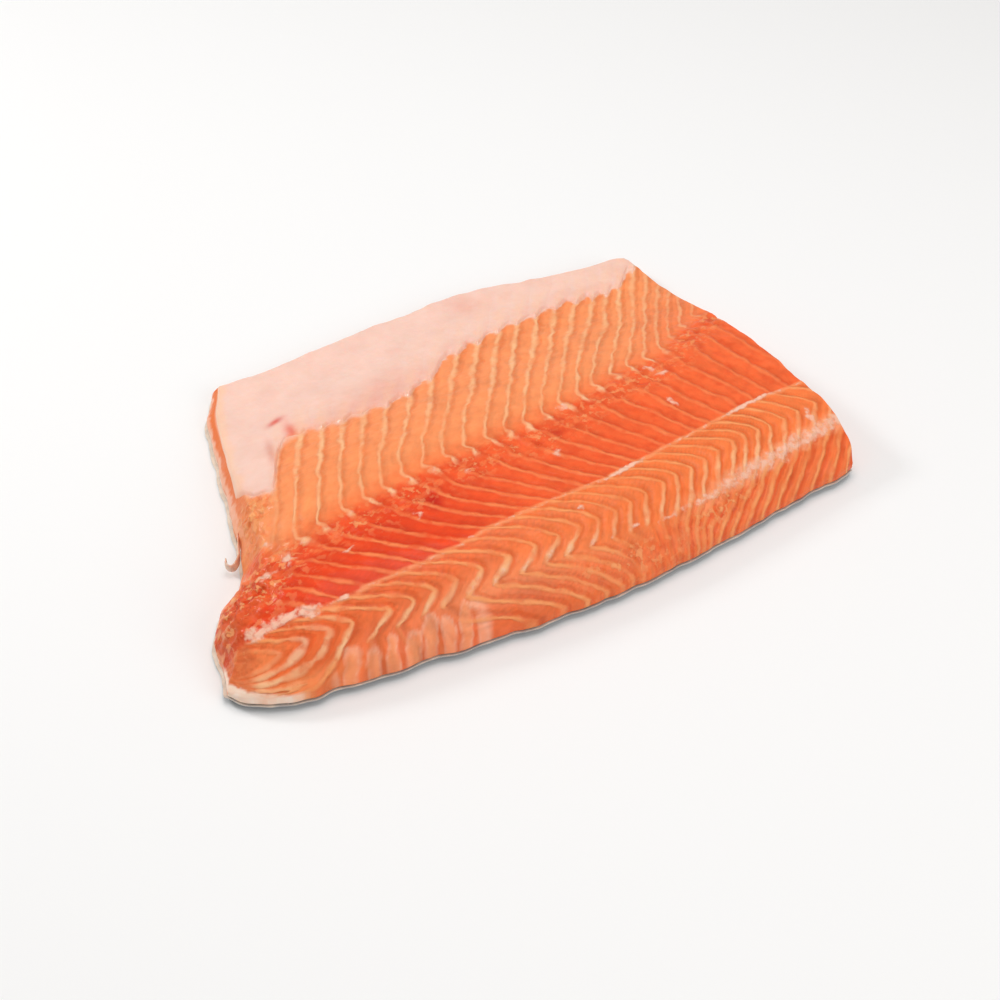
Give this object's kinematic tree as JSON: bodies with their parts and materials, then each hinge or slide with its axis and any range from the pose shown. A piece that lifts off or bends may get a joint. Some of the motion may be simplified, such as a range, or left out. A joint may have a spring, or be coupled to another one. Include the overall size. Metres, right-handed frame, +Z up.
{
  "type": "raw salmon fillet",
  "caption": "Thick slab of raw salmon fillet on its skin, with curved muscle flakes, a pale lining over the thin belly, a slanting notched head end and a straight tail cut.",
  "frame": {"origin": "middle of the footprint, at the level the skin rests on", "axes": "+X along the fish towards the tail, +Y from the back edge towards the belly edge, +Z up through the thickness"},
  "size_m": [0.284, 0.1971, 0.0304],
  "materials": {
    "skin": "wet silvery fish skin with small scales, darker towards the back",
    "flesh": "moist translucent orange flesh with pale curved connective lines between the flakes",
    "belly_lining": "moist pale pink membrane with faint white fat"
  },
  "bodies": {
    "root": {"skin": "skin", "flesh": "flesh", "belly_lining": "belly_lining"}
  },
  "joints": []
}
